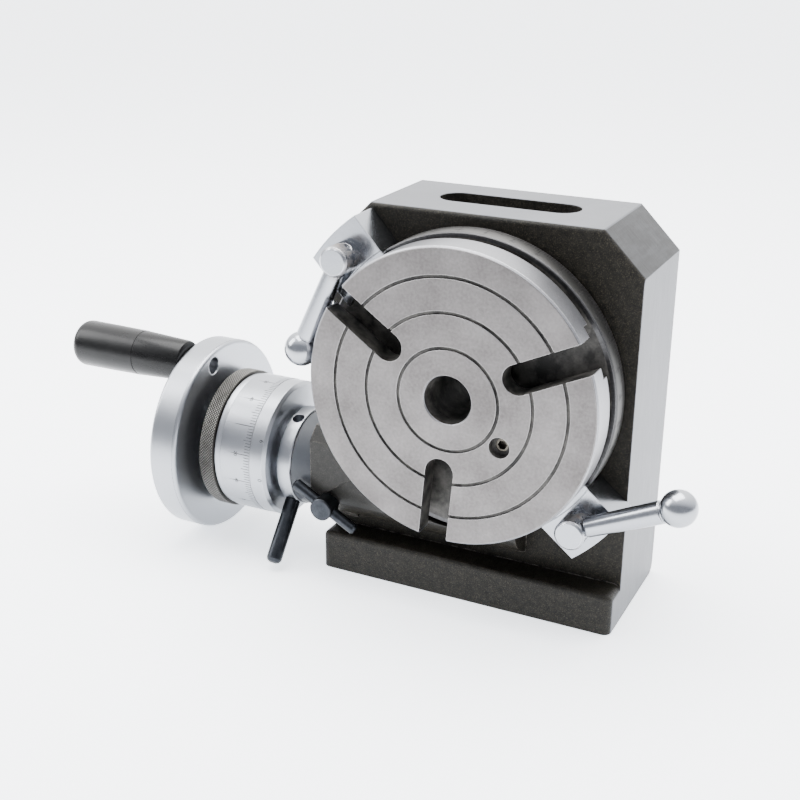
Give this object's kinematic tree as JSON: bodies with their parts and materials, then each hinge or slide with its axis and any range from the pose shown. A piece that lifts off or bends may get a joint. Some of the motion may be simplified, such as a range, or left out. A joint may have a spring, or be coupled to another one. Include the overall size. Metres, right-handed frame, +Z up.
{
  "type": "rotary table",
  "caption": "Small upright rotary table: a slotted round table in a black casting, turned through a worm by a handwheel with a graduated dial, and held by lever clamps.",
  "frame": {"origin": "middle of the underside of the casting's foot", "axes": "+Z up, -Y out of the table's face, -X along the worm shaft to the handwheel"},
  "size_m": [0.2677, 0.0792, 0.1471],
  "materials": {
    "casting": "black paint over a sand casting",
    "ground_steel": "turned and ground",
    "gear_bronze": "hobbed bronze",
    "steel": "turned",
    "bright_chrome": "satin chrome",
    "black_steel": "blackened",
    "grip_plastic": "moulded",
    "brass": "turned"
  },
  "bodies": {
    "base": {"body_casting": "casting", "thrust_washer": "gear_bronze", "lock_pad": "brass"},
    "table": {"table_plate": "ground_steel", "worm_wheel": "gear_bronze", "wheel_screws": "black_steel", "spindle_nut": "steel", "nut_set_screw": "black_steel", "face_screw": "black_steel"},
    "eccentric": {"eccentric_sleeve": "bright_chrome", "sleeve_lever": "black_steel", "worm_bush": "brass"},
    "worm": {"worm_shaft": "steel", "dial_hub": "steel", "handwheel": "bright_chrome", "handwheel_key": "steel", "handwheel_washer": "steel", "handwheel_nut": "steel", "crank_pin": "steel"},
    "dial": {"dial_ring": "bright_chrome"},
    "knurled_ring": {"lock_ring": "steel"},
    "grip_body": {"grip": "grip_plastic"},
    "sleeve_lock": {"lock_bolt": "black_steel"},
    "sleeve_lock_bar": {"lock_bar": "black_steel"},
    "upper_clamp": {"upper_clamp_block": "bright_chrome"},
    "upper_clamp_screw": {"upper_clamp_bolt": "steel", "upper_clamp_lever": "bright_chrome"},
    "lower_clamp": {"lower_clamp_block": "bright_chrome"},
    "lower_clamp_screw": {"lower_clamp_bolt": "steel", "lower_clamp_lever": "bright_chrome"}
  },
  "joints": [
    {"name": "table_spin", "type": "hinge", "parent": "base", "child": "table", "pos_m": [0, -0.04345, 0.087], "axis": [0, 1, 0], "continuous": true},
    {"name": "sleeve_throw", "type": "hinge", "parent": "base", "child": "eccentric", "pos_m": [0, -0.01179, 0.03906], "axis": [1, 0, 0], "range_deg": [-90, 0]},
    {"name": "worm_spin", "type": "hinge", "parent": "eccentric", "child": "worm", "pos_m": [0, -0.01045, 0.0404], "axis": [1, 0, 0], "continuous": true},
    {"name": "dial_zero", "type": "hinge", "parent": "worm", "child": "dial", "pos_m": [-0.093, -0.01045, 0.0404], "axis": [1, 0, 0], "continuous": true},
    {"name": "dial_lock", "type": "hinge", "parent": "worm", "child": "knurled_ring", "pos_m": [-0.105, -0.01045, 0.0404], "axis": [1, 0, 0], "range_deg": [0, 60]},
    {"name": "grip_spin", "type": "hinge", "parent": "worm", "child": "grip_body", "pos_m": [-0.15, -0.01962, 0.07345], "axis": [1, 0, 0], "continuous": true},
    {"name": "lock_turn", "type": "hinge", "parent": "base", "child": "sleeve_lock", "pos_m": [-0.0546, -0.03445, 0.0301], "axis": [0, 1, 0], "range_deg": [-60, 0]},
    {"name": "lock_bar_slide", "type": "slide", "parent": "sleeve_lock", "child": "sleeve_lock_bar", "axis": [0.8763, 0, -0.4818], "range_m": [-0.002, 0.006]},
    {"name": "upper_clamp_draw", "type": "slide", "parent": "base", "child": "upper_clamp", "axis": [0, 1, 0], "range_m": [0, 0.00019792]},
    {"name": "upper_clamp_turn", "type": "hinge", "parent": "upper_clamp", "child": "upper_clamp_screw", "pos_m": [-0.04562, -0.03695, 0.13045], "axis": [0, 1, 0], "range_deg": [0, 57]},
    {"name": "lower_clamp_draw", "type": "slide", "parent": "base", "child": "lower_clamp", "axis": [0, 1, 0], "range_m": [-0.00010417, 0.00019792]},
    {"name": "lower_clamp_turn", "type": "hinge", "parent": "lower_clamp", "child": "lower_clamp_screw", "pos_m": [0.0466, -0.03695, 0.0446], "axis": [0, 1, 0], "range_deg": [-30, 57]}
  ],
  "couplings": [
    {"joint": "worm_spin", "follows": "table_spin", "ratio": 72},
    {"joint": "upper_clamp_draw", "follows": "upper_clamp_turn", "m_per_rad": 0.00019894},
    {"joint": "lower_clamp_draw", "follows": "lower_clamp_turn", "m_per_rad": 0.00019894}
  ]
}
